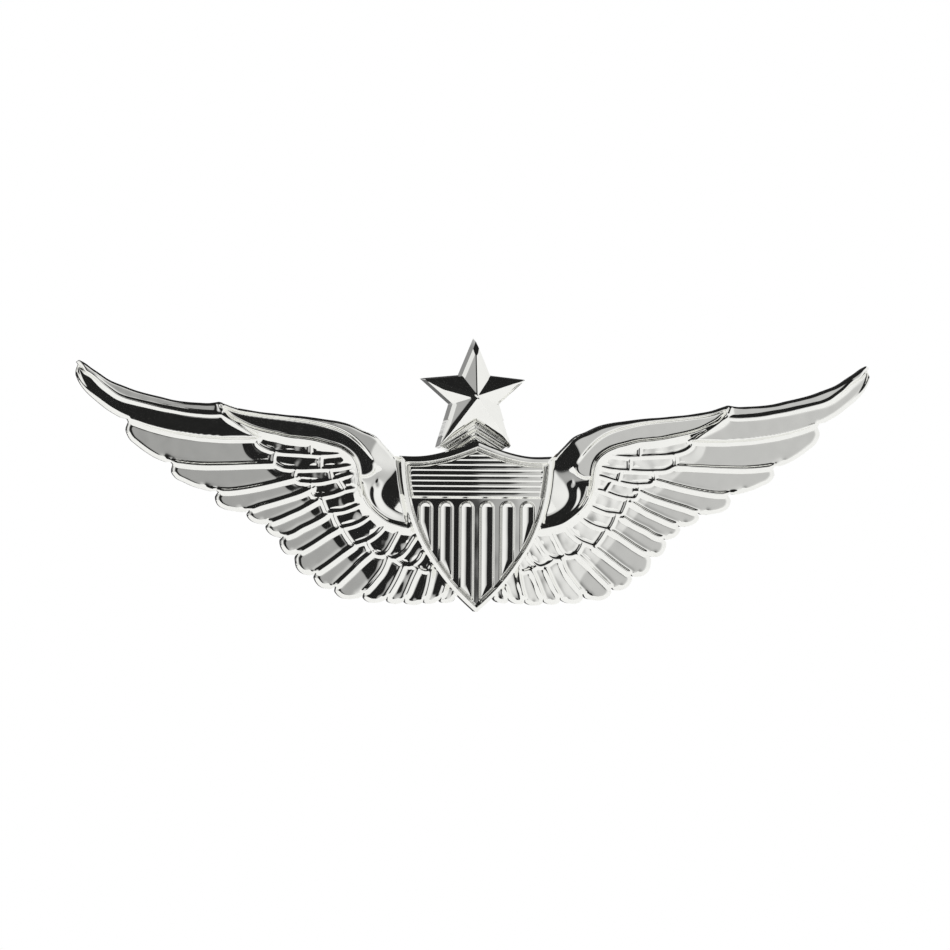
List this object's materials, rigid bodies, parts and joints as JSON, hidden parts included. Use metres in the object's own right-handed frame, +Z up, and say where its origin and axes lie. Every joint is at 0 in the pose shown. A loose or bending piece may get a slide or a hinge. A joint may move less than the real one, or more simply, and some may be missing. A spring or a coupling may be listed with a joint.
{
  "type": "pilot wings pin",
  "caption": "Chromed wings badge with a striped shield and a five-pointed star, held through cloth by nail posts with sliding spring clutches.",
  "frame": {"origin": "middle of the flat back face, midway between the posts", "axes": "+X along the wingspan, +Z up as worn, +Y out of the back along the posts"},
  "size_m": [0.0636, 0.0115, 0.0218],
  "materials": {
    "chrome": "mirror polish over a struck surface",
    "post_nickel": "nickel plate, satin",
    "clutch_brass": "bright stamped brass",
    "spring_steel": "drawn wire"
  },
  "bodies": {
    "root": {"wing_plate": "chrome", "shield": "chrome", "star": "chrome", "left_post": "post_nickel", "right_post": "post_nickel"},
    "left_clutch": {"left_clutch_base": "clutch_brass", "left_clutch_cover": "clutch_brass", "left_clutch_spring": "spring_steel"},
    "left_outer_ear": {"left_outer_ear": "clutch_brass"},
    "left_inner_ear": {"left_inner_ear": "clutch_brass"},
    "right_clutch": {"right_clutch_base": "clutch_brass", "right_clutch_cover": "clutch_brass", "right_clutch_spring": "spring_steel"},
    "right_outer_ear": {"right_outer_ear": "clutch_brass"},
    "right_inner_ear": {"right_inner_ear": "clutch_brass"}
  },
  "joints": [
    {"name": "left_clutch_slide", "type": "slide", "parent": "root", "child": "left_clutch", "axis": [0, 1, 0], "range_m": [-0.0014, 0.012]},
    {"name": "left_outer_ear_hinge", "type": "hinge", "parent": "left_clutch", "child": "left_outer_ear", "pos_m": [-0.0142, 0.0035, 0], "axis": [0, 0, -1], "range_deg": [0, 14], "stiffness_Nm_per_rad": 0.01, "deforming": ["left_clutch_spring"]},
    {"name": "left_inner_ear_hinge", "type": "hinge", "parent": "left_clutch", "child": "left_inner_ear", "pos_m": [-0.0098, 0.0035, 0], "axis": [0, 0, 1], "range_deg": [0, 14], "stiffness_Nm_per_rad": 0.01, "deforming": ["left_clutch_spring"]},
    {"name": "right_clutch_slide", "type": "slide", "parent": "root", "child": "right_clutch", "axis": [0, 1, 0], "range_m": [-0.0014, 0.012]},
    {"name": "right_outer_ear_hinge", "type": "hinge", "parent": "right_clutch", "child": "right_outer_ear", "pos_m": [0.0142, 0.0035, 0], "axis": [0, 0, 1], "range_deg": [0, 14], "stiffness_Nm_per_rad": 0.01, "deforming": ["right_clutch_spring"]},
    {"name": "right_inner_ear_hinge", "type": "hinge", "parent": "right_clutch", "child": "right_inner_ear", "pos_m": [0.0098, 0.0035, 0], "axis": [0, 0, -1], "range_deg": [0, 14], "stiffness_Nm_per_rad": 0.01, "deforming": ["right_clutch_spring"]}
  ],
  "couplings": [
    {"joint": "left_inner_ear_hinge", "follows": "left_outer_ear_hinge", "ratio": 1},
    {"joint": "right_inner_ear_hinge", "follows": "right_outer_ear_hinge", "ratio": 1}
  ]
}
